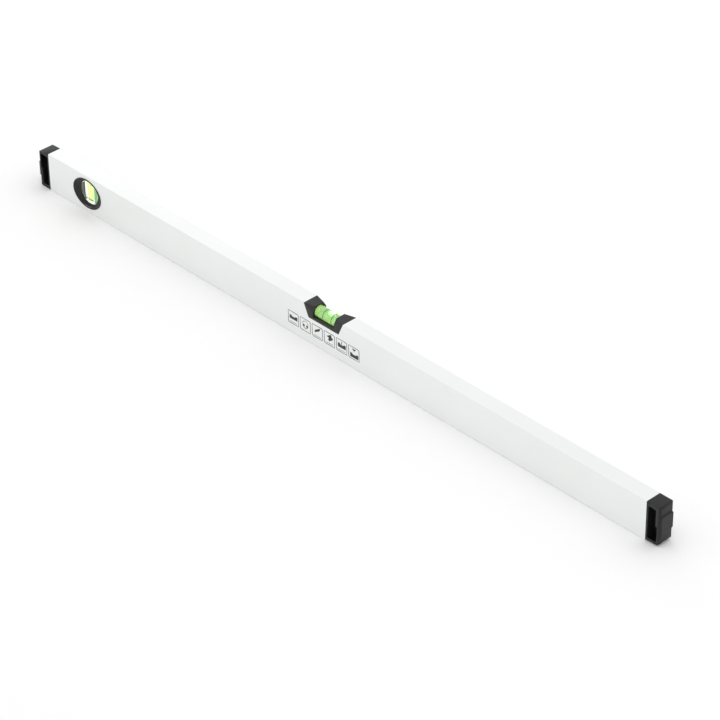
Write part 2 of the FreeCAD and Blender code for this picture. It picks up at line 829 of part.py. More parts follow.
def make_magnet(size, index, station):
    """One magnet in its cup, at a station along the level."""
    boss = cup_boss_radius(size)
    lift = size["cup_lift"]
    seat = size["base_wall"]
    bore = size["magnet_radius"] + size["magnet_clearance"]
    roof = lift + size["magnet_height"]

    magnet = cylinder("magnet_%d" % index, size["magnet_radius"], size["magnet_height"], x=station, z=lift)
    outline = free_sketch("magnet_cup_%d_outline" % index, "XZ")
    flange = boss + size["cup_flange_reach"]
    polygon(
        outline,
        [
            (station + bore, lift),
            (station + boss, lift),
            (station + boss, seat),
            (station + flange, seat),
            (station + flange, seat + size["cup_flange_height"]),
            (station + boss, seat + size["cup_flange_height"]),
            (station + boss, roof + size["cup_roof"]),
            (station, roof + size["cup_roof"]),
            (station, roof),
            (station + bore, roof),
        ],
    )
    cup = turned("magnet_cup_%d" % index, outline, FreeCAD.Vector(0, 0, 1), (station, 0, 0))
    return [magnet, cup]


def check(parts):
    """Stops if any object of the document failed, or a part's shape is empty or faulty."""
    for item in document.Objects:
        if "Invalid" in item.State or "Error" in item.State:
            raise RuntimeError("object %s failed: %s" % (item.Label, item.State))
    for part in parts:
        if part.Shape.isNull() or not part.Shape.isValid() or not part.Shape.Solids:
            raise RuntimeError("part %s has no good solid" % part.Label)


def main():
    """Builds every part from the sheet and writes each one to its own file."""
    size = make_sheet()
    plumb_level = size["section_height"] / 2 + size["plumb_lift"]
    plumb_centre = (size["plumb_setback"] - size["overall_length"] / 2, plumb_level)
    parts = [make_profile(size, plumb_centre)]
    parts.append(make_end_cap(size, "end_cap_left", -1))
    parts.append(make_end_cap(size, "end_cap_right", 1))
    parts.append(make_saddle(size))
    parts.extend(make_level_vial(size))
    parts.extend(make_plumb_bezels(size, plumb_centre))
    parts.extend(make_plumb_vial(size, plumb_centre))
    for index, station in enumerate(magnet_stations(size), start=1):
        parts.extend(make_magnet(size, index, station))
    document.recompute()
    check(parts)
    os.makedirs("parts", exist_ok=True)
    for part in parts:
        part.Shape.exportStep("parts/%s.step" % part.Label)
        print(part.Label, "solids", len(part.Shape.Solids), "volume", round(part.Shape.Volume, 1))


main()
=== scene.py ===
"""Looks of a 1 m magnetic spirit level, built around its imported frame.

Everything is in metres in the row's frame: the origin at the middle of the base, X along
the level away from the plumb vial, Y from the printed side to the back, and Z up.
"""

from __future__ import annotations

import json
import logging
import math
from collections.abc import Sequence
from dataclasses import KW_ONLY, dataclass
from enum import Enum

import bmesh
import bpy
from mathutils import Matrix, Vector

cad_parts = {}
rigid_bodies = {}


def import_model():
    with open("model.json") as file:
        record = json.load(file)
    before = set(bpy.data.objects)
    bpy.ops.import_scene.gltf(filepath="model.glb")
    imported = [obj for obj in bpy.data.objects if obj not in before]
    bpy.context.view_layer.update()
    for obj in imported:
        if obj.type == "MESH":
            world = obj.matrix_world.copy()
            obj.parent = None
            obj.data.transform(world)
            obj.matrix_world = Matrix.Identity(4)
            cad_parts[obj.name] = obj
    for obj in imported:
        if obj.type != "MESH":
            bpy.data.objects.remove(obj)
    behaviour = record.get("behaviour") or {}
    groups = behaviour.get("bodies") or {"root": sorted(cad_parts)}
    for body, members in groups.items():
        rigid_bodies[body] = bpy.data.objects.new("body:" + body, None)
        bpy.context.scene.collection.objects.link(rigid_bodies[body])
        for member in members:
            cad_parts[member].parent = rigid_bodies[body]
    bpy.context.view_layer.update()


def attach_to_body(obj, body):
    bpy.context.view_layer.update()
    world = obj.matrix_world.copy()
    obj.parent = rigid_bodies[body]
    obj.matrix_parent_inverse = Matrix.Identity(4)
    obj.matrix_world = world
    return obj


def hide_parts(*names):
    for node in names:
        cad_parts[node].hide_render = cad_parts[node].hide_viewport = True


LOG = logging.getLogger("spirit_level")

MM = 0.001
BODY = "root"
FRONT = -10.25 * MM
SHARP_ANGLE = 32.0
CURVE_ANGLE = 35.0
BARREL_STEPS = 24
PLUG_GAP = 0.05 * MM
NOISE_LOW, NOISE_HIGH = 0.3, 0.7
ACRYLIC_IOR = 1.49
LIQUID_IN_ACRYLIC_IOR = 0.94
GAS_IN_LIQUID_IOR = 0.67

Point = tuple[float, float]
Place = tuple[float, float, float]
Colour = tuple[float, float, float]
Given = bpy.types.NodeSocket | float | Sequence[float]


class Axis(Enum):
    """Which way a turned piece's own axis runs."""

    ALONG = "x"
    UPRIGHT = "z"


# Node helpers


def fill(tree: bpy.types.NodeTree, node: bpy.types.Node, *values: Given, **named: Given) -> None:
    """Links or sets a node's inputs.

    Args:
        tree: The node's tree.
        node: The node.
        *values: Sockets or constants for its first inputs.
        **named: Sockets or constants by input name, with an underscore for each space.
    """
    pairs = list(zip(node.inputs, values))
    pairs += [(node.inputs[label.replace("_", " ")], value) for label, value in named.items()]
    for place, value in pairs:
        if isinstance(value, bpy.types.NodeSocket):
            tree.links.new(value, place)
        else:
            place.default_value = value


def add_node(
    tree: bpy.types.NodeTree,
    kind: str,
    *values: Given,
    modes: dict[str, str | bpy.types.NodeTree] | None = None,
    **named: Given,
) -> bpy.types.Node:
    """Adds a node to a tree, with its inputs linked or set.

    Args:
        tree: The tree.
        kind: The node's type.
        *values: Sockets or constants for its first inputs.
        modes: Properties to set first, such as the operation.
        **named: Sockets or constants by input name, with an underscore for each space.

    Returns:
        The node.
    """
    node = tree.nodes.new(kind)
    for label, mode in (modes or {}).items():
        setattr(node, label, mode)
    fill(tree, node, *values, **named)
    return node


def math_node(tree: bpy.types.NodeTree, operation: str, *values: Given) -> bpy.types.NodeSocket:
    """Adds a Math node and gives its result."""
    return add_node(tree, "ShaderNodeMath", *values, modes={"operation": operation}).outputs[0]


def blended(
    tree: bpy.types.NodeTree, share: Given, first: Given, second: Given
) -> bpy.types.NodeSocket:
    """Blends two colours by a value from 0 to 1 and gives the result."""
    modes = {"data_type": "RGBA"}
    node = add_node(tree, "ShaderNodeMix", modes=modes, Factor=share, A=first, B=second)
    return node.outputs["Result"]


# Shader node groups


def group_tree(name: str, inputs: dict[str, float], outputs: Sequence[str]) -> bpy.types.NodeTree:
    """Starts a shader node group whose inputs are plain numbers.

    Args:
        name: The group's name.
        inputs: Each input's name and default value.
        outputs: The names of the outputs, which are all values.

    Returns:
        The new group, with its input and output nodes named "in" and "out".
    """
    tree = bpy.data.node_groups.new(name, "ShaderNodeTree")
    for label, value in inputs.items():
        socket = tree.interface.new_socket(label, in_out="INPUT", socket_type="NodeSocketFloat")
        socket.default_value = value
    for label in outputs:
        tree.interface.new_socket(label, in_out="OUTPUT", socket_type="NodeSocketFloat")
    tree.nodes.new("NodeGroupInput").name = "in"
    tree.nodes.new("NodeGroupOutput").name = "out"
    return tree


def grain_group() -> bpy.types.NodeTree:
    """Builds the group that gives a surface a fine random grain and slow blotches.

    Returns:
        A group with the outputs Fine, a value about 0.5 that changes within a millimetre
        or less, and Slow, one that changes over centimetres.
    """
    scales = {"Fine scale": 2000.0, "Slow scale": 30.0}
    tree = group_tree("surface_grain", scales, ("Fine", "Slow"))
    place = add_node(tree, "ShaderNodeTexCoord").outputs["Object"]
    for output, detail in (("Fine", 2.0), ("Slow", 3.0)):
        scale = tree.nodes["in"].outputs[f"{output} scale"]
        noise = add_node(tree, "ShaderNodeTexNoise", Vector=place, Scale=scale, Detail=detail)
        tree.links.new(noise.outputs["Fac"], tree.nodes["out"].inputs[output])
    return tree


def streak_group() -> bpy.types.NodeTree:
    """Builds the group that draws the faint lines an extrusion has along its length.

    Returns:
        A group with the output Line, a value about 0.5 that changes across the section
        and hardly along it.
    """
    tree = group_tree("drawn_streaks", {"Scale": 900.0, "Stretch": 0.01}, ("Line",))
    given = tree.nodes["in"].outputs
    place = add_node(tree, "ShaderNodeTexCoord").outputs["Object"]
    ratio = add_node(tree, "ShaderNodeCombineXYZ", given["Stretch"], 1.0, 1.0).outputs[0]
    modes = {"operation": "MULTIPLY"}
    drawn = add_node(tree, "ShaderNodeVectorMath", place, ratio, modes=modes).outputs[0]
    noise = add_node(
        tree, "ShaderNodeTexNoise", Vector=drawn, Scale=given["Scale"], Detail=3.0
    )
    tree.links.new(noise.outputs["Fac"], tree.nodes["out"].inputs["Line"])
    return tree


@dataclass
class Groups:
    """The shader node groups that several finishes share."""

    grain: bpy.types.NodeTree
    streaks: bpy.types.NodeTree


# Finishes


def new_material(name: str) -> tuple[bpy.types.Material, bpy.types.Node]:
    """Starts a material.

    Args:
        name: The material's name.

    Returns:
        The material and its Principled node.
    """
    material = bpy.data.materials.new(name)
    material.use_nodes = True
    return material, material.node_tree.nodes["Principled BSDF"]


@dataclass
class Draft:
    """A material in the making, whose colour drifts between two tones.

    Its scales are those of the fine and the slow noise, and drift names the one that
    the colour follows.
    """

    name: str
    groups: Groups
    dark: Colour
    pale: Colour
    scales: Point
    drift: str = "Slow"

    def __post_init__(self) -> None:
        """Starts the material with its grain and its drifting colour."""
        self.material, self.shader = new_material(self.name)
        self.tree = self.material.node_tree
        fine, slow = self.scales
        self.grain = self.add_group(self.groups.grain, Fine_scale=fine, Slow_scale=slow)
        share = self.ranged(self.grain.outputs[self.drift], 0.0, 1.0)
        self.tone = blended(self.tree, share, (*self.dark, 1.0), (*self.pale, 1.0))
        self.set(Base_Color=self.tone)

    def set(self, **values: Given) -> None:
        """Links or sets the shader's inputs, with an underscore for each space in a name."""
        fill(self.tree, self.shader, **values)

    def add_group(self, tree: bpy.types.NodeTree, **values: float) -> bpy.types.Node:
        """Places a shader group in the material with its own input values."""
        return add_node(self.tree, "ShaderNodeGroup", modes={"node_tree": tree}, **values)

    def ranged(
        self, source: bpy.types.NodeSocket, low: float, high: float
    ) -> bpy.types.NodeSocket:
        """Maps a noise value onto the range from low to high."""
        ends = {"From_Min": NOISE_LOW, "From_Max": NOISE_HIGH, "To_Min": low, "To_Max": high}
        return add_node(self.tree, "ShaderNodeMapRange", source, **ends).outputs["Result"]

    def bump(self, height: bpy.types.NodeSocket, depth: float) -> None:
        """Feeds a height from 0 to 1 into the shader's normal, with its depth in metres."""
        node = add_node(self.tree, "ShaderNodeBump", Height=height, Distance=depth)
        self.set(Normal=node.outputs["Normal"])


@dataclass(frozen=True)
class Finish:
    """What every finish has: its name, two tones and the scales of its noise."""

    name: str
    dark: Colour
    pale: Colour
    _: KW_ONLY
    scales: Point = (1500.0, 60.0)
    drift: str = "Slow"

    def build(self, groups: Groups) -> bpy.types.Material:
        """Builds the material.

        Args:
            groups: The shared node groups.

        Returns:
            The material.
        """
        draft = Draft(self.name, groups, self.dark, self.pale, self.scales, self.drift)
        self.dress(draft)
        return draft.material

    def dress(self, draft: Draft) -> None:
        """Adds what one kind of finish has beside its tones.

        Args:
            draft: The material in the making.
        """
        raise NotImplementedError


@dataclass(frozen=True)
class Anodised(Finish):
    """Satin anodised aluminium, with the faint streaks of its extrusion."""

    metallic: float = 0.35
    roughness: Point = (0.42, 0.5)
    streak_scale: float = 1100.0
    streak_stretch: float = 0.006
    relief: float = 0.004 * MM

    def dress(self, draft: Draft) -> None:
        """Adds the streaks.

        Args:
            draft: The material in the making.
        """
        streaks = draft.add_group(
            draft.groups.streaks, Scale=self.streak_scale, Stretch=self.streak_stretch
        )
        line = streaks.outputs["Line"]
        draft.set(Metallic=self.metallic, Roughness=draft.ranged(line, *self.roughness))
        draft.bump(line, self.relief)


@dataclass(frozen=True)
class Grained(Finish):
    """A solid finish with a fine grain, such as a spark-eroded moulding or brushed nickel."""

    roughness: Point = (0.5, 0.62)
    specular: float = 0.4
    relief: float = 0.03 * MM
    metallic: float = 0.0

    def dress(self, draft: Draft) -> None:
        """Adds the grain.

        Args:
            draft: The material in the making.
        """
        fine = draft.grain.outputs["Fine"]
        draft.set(Roughness=draft.ranged(fine, *self.roughness), Metallic=self.metallic)
        draft.set(Specular_IOR_Level=self.specular)
        if self.relief > 0.0:
            draft.bump(fine, self.relief)


@dataclass(frozen=True)
class PaintedShading:
    """Painted shading: another colour to one side of a place along X, and in front of a place
    across Y.
    """

    colour: Colour
    along: float
    front: float = 1.0
    side: int = 1
    blend: float = 0.3 * MM

    def apply(self, draft: Draft) -> bpy.types.NodeSocket:
        """Lays the painted shading over a material's drifting colour.

        Args:
            draft: The material in the making.

        Returns:
            The colour with the painted shading.
        """
        tree, reach = draft.tree, self.side * self.blend
        place = add_node(tree, "ShaderNodeTexCoord").outputs["Object"]
        parts = add_node(tree, "ShaderNodeSeparateXYZ", place).outputs
        ends = {"From_Min": self.along - reach, "From_Max": self.along + reach}
        beside = add_node(tree, "ShaderNodeMapRange", parts["X"], **ends).outputs["Result"]
        front = math_node(tree, "LESS_THAN", parts["Y"], self.front)
        both = math_node(tree, "MULTIPLY", beside, front)
        return blended(tree, both, draft.tone, (*self.colour, 1.0))


@dataclass(frozen=True)
class Clear(Finish):
    """A clear solid, liquid or gas, tinted by its own colour, with an optional painted glow and
    painted shading.
    """

    ior: float
    roughness: float = 0.0
    clearness: float = 1.0
    painted_glow: float = 0.0
    painted_shading: PaintedShading | None = None

    def dress(self, draft: Draft) -> None:
        """Lets light through, and adds the painted glow and the painted shading.

        Args:
            draft: The material in the making.
        """
        tone = draft.tone if self.painted_shading is None else self.painted_shading.apply(draft)
        draft.set(Base_Color=tone, Emission_Color=tone, Emission_Strength=self.painted_glow)
        draft.set(Transmission_Weight=self.clearness, IOR=self.ior, Roughness=self.roughness)


@dataclass(frozen=True)
class Paint(Finish):
    """A smooth paint or ink, with an optional painted glow that stands in for the light a clear
    block gathers on it.
    """

    roughness: float = 0.6
    painted_glow: float = 0.0

    def dress(self, draft: Draft) -> None:
        """Sets the sheen and the painted glow.

        Args:
            draft: The material in the making.
        """
        draft.set(Roughness=self.roughness, Emission_Strength=self.painted_glow)
        draft.set(Emission_Color=(*self.pale, 1.0))


CLOUDS = (300.0, 80.0)
PAINTED = (1200.0, 120.0)
PRINTED = {"roughness": 0.5, "scales": (2500.0, 500.0), "drift": "Fine"}

FINISHES = (
    Anodised(
        "satin_aluminium", (0.865, 0.88, 0.87), (0.885, 0.9, 0.89), scales=(2600.0, 14.0)
    ),
    Grained("cap_moulding", (0.009, 0.009, 0.01), (0.012, 0.012, 0.013), (0.4, 0.52), 0.33),
    Grained("saddle_moulding", (0.016, 0.017, 0.016), (0.023, 0.024, 0.022)),
    # Near-black for the walls and floor of the caps' side pockets: painted shade.
    Grained("pocket_shade", (0.003, 0.003, 0.003), (0.006, 0.006, 0.006), (0.7, 0.8), 0.12),
    # Opaque dark grey on the clear block's sides and on its back left of paint_from: painted
    # shade for the dark seen through the housing.
    Grained("painted_side_shade", (0.04, 0.045, 0.035), (0.12, 0.125, 0.105), (0.4, 0.5)),
    Grained(
        "plug_plastic", (0.6, 0.5, 0.16), (0.7, 0.6, 0.22), (0.3, 0.4), 0.5, scales=(600.0, 60.0)
    ),
    Grained(
        "nickel_plate",
        (0.496, 0.488, 0.48),
        (0.62, 0.61, 0.6),
        (0.2, 0.36),
        specular=0.5,
        scales=(900.0, 150.0),
        relief=0.0,
        metallic=1.0,
    ),
    Clear(
        "clear_acrylic",
        (0.97, 1.0, 0.93),
        (0.9721, 1.0, 0.9349),
        ACRYLIC_IOR,
        scales=CLOUDS,
        # The left end of the vial tube is tinted where the block's shadow falls: painted shade.
        painted_shading=PaintedShading((0.86, 0.68, 0.62), -13.6 * MM, side=-1),
    ),
    Clear(
        "block_acrylic",
        (0.97, 1.0, 0.95),
        (0.9721, 1.0, 0.9535),
        ACRYLIC_IOR,
        scales=CLOUDS,
        # The block's front right of the bore is tinted green: a painted reflection of the
        # liquid's colour.
        painted_shading=PaintedShading((0.03, 0.2, 0.08), -399.7 * MM, -6.5 * MM),
    ),
    # The level vial's liquid glows a little: painted light for its brightly lit look.
    Clear(
        "vial_spirit",
        (0.32, 0.86, 0.36),
        (0.9, 1.0, 0.48),
        LIQUID_IN_ACRYLIC_IOR,
        roughness=0.05,
        clearness=0.74,
        painted_glow=0.26,
        scales=(300.0, 150.0),
    ),
    # The plumb liquid glows a little as well: painted light.
    Clear(
        "plumb_spirit",
        (0.9, 0.98, 0.4),
        (0.8, 0.96, 0.42),
        LIQUID_IN_ACRYLIC_IOR,
        clearness=0.85,
        painted_glow=0.15,
        scales=(300.0, 170.0),
    ),
    # White, partly opaque and glowing: the bubble's bright look is a painted highlight.
    Clear(
        "bubble_gas_painted_highlight",
        (1.0, 1.0, 1.0),
        (1.0, 1.0, 1.0),
        GAS_IN_LIQUID_IOR,
        scales=CLOUDS,
        clearness=0.75,
        painted_glow=0.2,
    ),
    # White paint on the block's back, glowing to bring it up to white: the glow is painted light.
    Paint(
        "white_back_paint_and_glow", (0.9024, 0.912, 0.8928), (0.94, 0.95, 0.93), painted_glow=0.75, scales=PAINTED
    ),
    # Glowing yellow-green on a stretch of the block's front edge: a painted glint.
    Paint("block_rim_painted_glint", (0.576, 0.6528, 0.192), (0.6, 0.68, 0.2), painted_glow=0.25, scales=PAINTED),
    # Dark green at the front of the plumb liquid's foot: painted shade for the dark line its edge
    # shows.
    Paint("painted_foot_shade", (0.0288, 0.192, 0.048), (0.03, 0.2, 0.05), scales=PAINTED),
    Paint("ring_ink", (0.03, 0.34, 0.18), (0.0591, 0.3598, 0.2046), **PRINTED),
    Paint("line_ink", (0.05, 0.051, 0.05), (0.0785, 0.07947, 0.0785), **PRINTED),
    Paint("sign_ink", (0.008, 0.008, 0.008), (0.03776, 0.03776, 0.03776), **PRINTED),
    Paint("pale_ink", (0.2, 0.205, 0.2), (0.224, 0.22885, 0.224), **PRINTED),
)


# Mesh helpers


def add_object(name: str, mesh: bpy.types.Mesh) -> bpy.types.Object:
    """Links a mesh to the scene as an object at the origin.

    Args:
        name: The object's name.
        mesh: Its mesh, already in place.

    Returns:
        The object.
    """
    piece = bpy.data.objects.new(name, mesh)
    bpy.context.scene.collection.objects.link(piece)
    return piece


def finish_mesh(name: str, shape: bmesh.types.BMesh, smooth_angle: float) -> bpy.types.Mesh:
    """Turns a bmesh into a mesh with outward normals.

    Args:
        name: The mesh's name.
        shape: The bmesh, which is freed.
        smooth_angle: Faces that meet at less than this angle, in degrees, are shaded smooth.

    Returns:
        The mesh.
    """
    bmesh.ops.remove_doubles(shape, verts=shape.verts, dist=1e-7)
    bmesh.ops.recalc_face_normals(shape, faces=shape.faces)
    mesh = plain_mesh(name, shape)
    shade(mesh, smooth_angle)
    return mesh


def plain_mesh(name: str, shape: bmesh.types.BMesh) -> bpy.types.Mesh:
    """Turns a bmesh into a mesh as it is, and frees it.

    Args:
        name: The mesh's name.
        shape: The bmesh.

    Returns:
        The mesh.
    """
    mesh = bpy.data.meshes.new(name)
    shape.to_mesh(mesh)
    shape.free()
    return mesh


def shade(mesh: bpy.types.Mesh, angle: float) -> None:
    """Shades a mesh smooth, apart from edges sharper than an angle in degrees."""
    mesh.shade_smooth()
    mesh.set_sharp_from_angle(angle=math.radians(angle))


def turned(
    name: str, outline: Sequence[Point], centre: Vector, axis: Axis, steps: int = 64
) -> bpy.types.Object:
    """Turns an outline about an axis into a closed piece.

    Args:
        name: The piece's name.
        outline: Points (station along the axis, radius); the first and last may be on the axis.
        centre: The point that stations are counted from.
        axis: Which way the axis runs.
        steps: How many faces go round.

    Returns:
        The object.
    """
    shape = bmesh.new()
    rings: list[list[bmesh.types.BMVert]] = []
    for station, radius in outline:
        ring = []
        for step in range(steps if radius > 0.0 else 1):
            turn = math.tau * step / steps
            side, up = radius * math.cos(turn), radius * math.sin(turn)
            along = axis is Axis.ALONG
            offset = Vector((station, side, up)) if along else Vector((side, up, station))
            ring.append(shape.verts.new(centre + offset))
        rings.append(ring)
    for first, second in zip(rings, rings[1:]):
        for step in range(steps):
            following = (step + 1) % steps
            corners = [first[step % len(first)], first[following % len(first)]]
            corners += [second[following % len(second)], second[step % len(second)]]
            unique = list(dict.fromkeys(corners))
            if len(unique) > 2:
                shape.faces.new(unique)
    return add_object(name, finish_mesh(name, shape, CURVE_ANGLE))


def rod(low: float, high: float, radius: float) -> list[Point]:
    """Gives the outline of a plain rod between two stations."""
    return [(low, 0.0), (low, radius), (high, radius), (high, 0.0)]


def barrel(low: float, high: float, radii: Point, top: float, foot: float = 0.0) -> list[Point]:
    """Gives the outline of a bore that is widest in its middle.

    Args:
        low: The first station.
        high: The station where the outline ends.
        radii: The radius at the bore's ends and in its middle.
        top: The station where the bore ends, at or beyond high.
        foot: The height of the first ring.

    Returns:
        The outline, with both ends on the axis.
    """
    points = [(low, 0.0)]
    if foot > 0.0:
        points.append((low, radii[0]))
    for step in range(BARREL_STEPS + 1):
        station = low + foot + (high - low - foot) * step / BARREL_STEPS
        share = (station - low) / (top - low) * 2 - 1
        points.append((station, radii[0] + (radii[1] - radii[0]) * (1 - share * share)))
    return [*points, (high, 0.0)]


def ellipsoid(name: str, centre: Vector, radii: Vector) -> bpy.types.Object:
    """Makes a smooth closed ellipsoid.

    Args:
        name: The piece's name.
        centre: Its centre.
        radii: Its half sizes along X, Y and Z.

    Returns:
        The object.
    """
    shape = bmesh.new()
    bmesh.ops.create_uvsphere(shape, u_segments=48, v_segments=24, radius=1.0)
    for vert in shape.verts:
        vert.co = centre + Vector(a * b for a, b in zip(vert.co, radii))
    return add_object(name, finish_mesh(name, shape, 60.0))


def trim(piece: bpy.types.Object, tool: bpy.types.Object, operation: str) -> None:
    """Cuts a piece with another, and removes the tool.

    Args:
        piece: The object to cut.
        tool: The object to cut with.
        operation: DIFFERENCE or INTERSECT.
    """
    cut = piece.modifiers.new("trim", "BOOLEAN")
    cut.object = tool
    cut.operation = operation
    cut.solver = "EXACT"
    bpy.context.view_layer.update()
    depsgraph = bpy.context.evaluated_depsgraph_get()
    mesh = bpy.data.meshes.new_from_object(piece.evaluated_get(depsgraph), depsgraph=depsgraph)
    piece.modifiers.remove(cut)
    piece.data = mesh
    mesh.name = piece.name
    shade(mesh, CURVE_ANGLE)
    bpy.data.objects.remove(tool)


def refined_copy(node: str, name: str) -> bpy.types.Object:
    """Copies a frame node's mesh, with its flat faces whole again.

    Args:
        node: The frame node.
        name: The new object's name.

    Returns:
        The new object.
    """
    shape = bmesh.new()
    shape.from_mesh(bpy.data.objects[node].data)
    bmesh.ops.remove_doubles(shape, verts=shape.verts, dist=1e-6)
    flat = math.radians(0.5)
    bmesh.ops.dissolve_limit(shape, angle_limit=flat, verts=shape.verts, edges=shape.edges)
    mesh = plain_mesh(name, shape)
    shade(mesh, SHARP_ANGLE)
    return add_object(name, mesh)


def soften(piece: bpy.types.Object, width: float, segments: int = 2) -> bpy.types.BevelModifier:
    """Rounds the sharp edges of a piece a little.

    Args:
        piece: The object.
        width: The rounding's width in metres.
        segments: How many faces go round an edge.

    Returns:
        The modifier.
    """
    bevel = piece.modifiers.new("softened_edges", "BEVEL")
    bevel.width = width
    bevel.segments = segments
    bevel.limit_method = "ANGLE"
    bevel.angle_limit = math.radians(SHARP_ANGLE)
    bevel.harden_normals = True
    bevel.use_clamp_overlap = True
    return bevel


def attach(
    piece: bpy.types.Object, material: bpy.types.Material, slot: str, *replaced: str
) -> None:
    """Gives a piece its material and makes it part of the level.

    Args:
        piece: The object.
        material: Its finish, where it has none yet.
        slot: The name of a material slot in the record; not used.
        *replaced: The frame nodes that it stands for.
    """
    if not piece.data.materials:
        piece.data.materials.append(material)
    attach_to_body(piece, BODY)
    if replaced:
        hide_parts(*replaced)
    LOG.info("%s: %d faces", piece.name, len(piece.data.polygons))


def dress(node: str, material: bpy.types.Material) -> None:
    """Gives a frame node a finish of its own.

    Args:
        node: The frame node.
        material: The finish.
    """
    item = bpy.data.objects[node]
    if not item.material_slots:
        item.data.materials.append(material)
    for place in item.material_slots:
        place.material = material
    LOG.info("%s: dressed", node)


# Sub-assemblies


@dataclass
class BlackMouldings:
    """The end caps, the saddle and the two plumb bezels."""

    black: bpy.types.Material
    grey: bpy.types.Material
    painted_shade_in_pockets: bpy.types.Material
    edge: float = 0.22 * MM
    pad_edges: tuple[float, float] = (0.3 * MM, 0.75 * MM)
    pad_from: float = 498.4 * MM
    flange_from: float = 480.0 * MM
    long_edge: float = 4.0 * MM
    pocket_along: Point = (485.0 * MM, 497.0 * MM)
    pocket_up: Point = (4.0 * MM, 46.0 * MM)
    pocket_across: float = 9.0 * MM

    def build(self) -> None:
        """Replaces each moulding with a copy that has softened edges, and gives the caps' side
        pockets painted shade.
        """
        for node in ("saddle", "plumb_bezel_front", "plumb_bezel_back"):
            piece = refined_copy(node, node + "_moulding")
            soften(piece, self.edge)
            material = self.grey if node == "saddle" else self.black
            attach(piece, material, "black_plastic", node)
        for node, pad_edge in zip(("end_cap_left", "end_cap_right"), self.pad_edges):
            piece = refined_copy(node, node + "_moulding")
            self.soften_cap(piece, pad_edge)
            for material in (self.black, self.painted_shade_in_pockets):
                piece.data.materials.append(material)
            # Faces on the walls and floor of a side pocket take the near-black pocket material:
            # painted shade for the dark inside the pockets.
            for face in piece.data.polygons:
                face.material_index = int(self.in_pocket(face.center))
            attach(piece, self.black, "black_plastic", node)

    def in_pocket(self, place: Vector) -> bool:
        """Tells whether a point of a cap is on the walls or floor of a side pocket."""
        along = self.pocket_along[0] < abs(place.x) < self.pocket_along[1]
        up = self.pocket_up[0] < place.z < self.pocket_up[1]
        return along and up and abs(place.y) < self.pocket_across

    def soften_cap(self, piece: bpy.types.Object, pad_edge: float) -> None:
        """Rounds the bumper pad's edges, and the long edges of the flange a little less.

        Args:
            piece: The cap.
            pad_edge: The width of the pad's softened edges in metres.
        """
        shape = bmesh.new()
        shape.from_mesh(piece.data)
        weight = shape.edges.layers.float.new("bevel_weight_edge")
        for edge in shape.edges:
            if edge.calc_face_angle(0.0) < math.radians(SHARP_ANGLE):
                continue
            nearest = min(abs(vert.co.x) for vert in edge.verts)
            if nearest > self.pad_from:
                edge[weight] = 1.0
            elif nearest > self.flange_from and edge.calc_length() > self.long_edge:
                edge[weight] = self.edge / pad_edge
        shape.to_mesh(piece.data)
        shape.free()
        bevel = soften(piece, pad_edge, 3)
        bevel.limit_method = "WEIGHT"
        bevel.use_clamp_overlap = False


@dataclass
class LevelVial:
    """The round vial in the saddle."""

    acrylic: bpy.types.Material
    liquid: bpy.types.Material
    bubble_highlight: bpy.types.Material
    ring_ink: bpy.types.Material
    plug: bpy.types.Material
    level: float = 41.1 * MM
    radius: float = 7.0 * MM
    length: float = 44.6 * MM
    lip: float = 0.35 * MM
    bore: Point = (4.75 * MM, 4.95 * MM)
    bore_length: float = 36.7 * MM
    plug_length: float = 4.0 * MM
    seal: float = 0.02 * MM
    bubble: Place = (5.5 * MM, 3.5 * MM, 1.9 * MM)
    bubble_place: Point = (3.1 * MM, 0.9 * MM)
    bubble_sink: float = 0.4 * MM
    bubble_gap: float = 0.03 * MM
    ring_gap: float = 13.5 * MM
    ring_place: float = 1.0 * MM
    ring_width: float = 1.1 * MM
    ring_depth: float = 0.06 * MM

    def build(self) -> None:
        """Builds the vial's body, liquid, bubble, ring lines and plug."""
        centre = Vector((0.0, 0.0, self.level))
        half = self.length / 2
        shoulder, edge = half - self.lip, self.radius - self.lip
        outside = [(-half, 0.0), (-half, edge), (-shoulder, self.radius)]
        outside += [(-station, radius) for station, radius in reversed(outside)]
        body = turned("level_vial_tube", outside, centre, Axis.ALONG, 96)
        attach(body, self.acrylic, "vial_acrylic", "level_vial_body")

        seat = self.plug_length - half
        end = seat + self.bore_length
        inside = barrel(seat + self.seal, end, self.bore, end)
        crown = self.level + self.bore[1] - self.bubble[2] + self.bubble_sink
        place = Vector((*self.bubble_place, crown))
        liquid = turned("level_vial_spirit", inside, centre, Axis.ALONG, 72)
        trim(liquid, ellipsoid("bubble_hollow", place, Vector(self.bubble)), "DIFFERENCE")
        attach(liquid, self.liquid, "vial_liquid", "level_vial_liquid")

        shrunk = Vector(part - self.bubble_gap for part in self.bubble)
        bubble = ellipsoid("level_vial_bubble", place, shrunk)
        trim(bubble, turned("bubble_bore", inside, centre, Axis.ALONG, 72), "INTERSECT")
        attach(bubble, self.bubble_highlight, "vial_liquid")

        stopper = rod(PLUG_GAP - half, seat, self.bore[0] - PLUG_GAP)
        plug = turned("level_vial_stopper", stopper, centre, Axis.ALONG)
        attach(plug, self.plug, "vial_plug", "level_vial_plug")

        rings = bake_nodes(
            "level_vial_rings",
            ring_tree(),
            {
                "Radius": self.bore[1] + self.seal,
                "Width": self.ring_width,
                "Thickness": self.ring_depth,
                "Gap": self.ring_gap,
                "Middle": self.ring_place,
                "Height": self.level,
                "Material": self.ring_ink,
            },
        )
        attach(rings, self.ring_ink, "vial_plug")


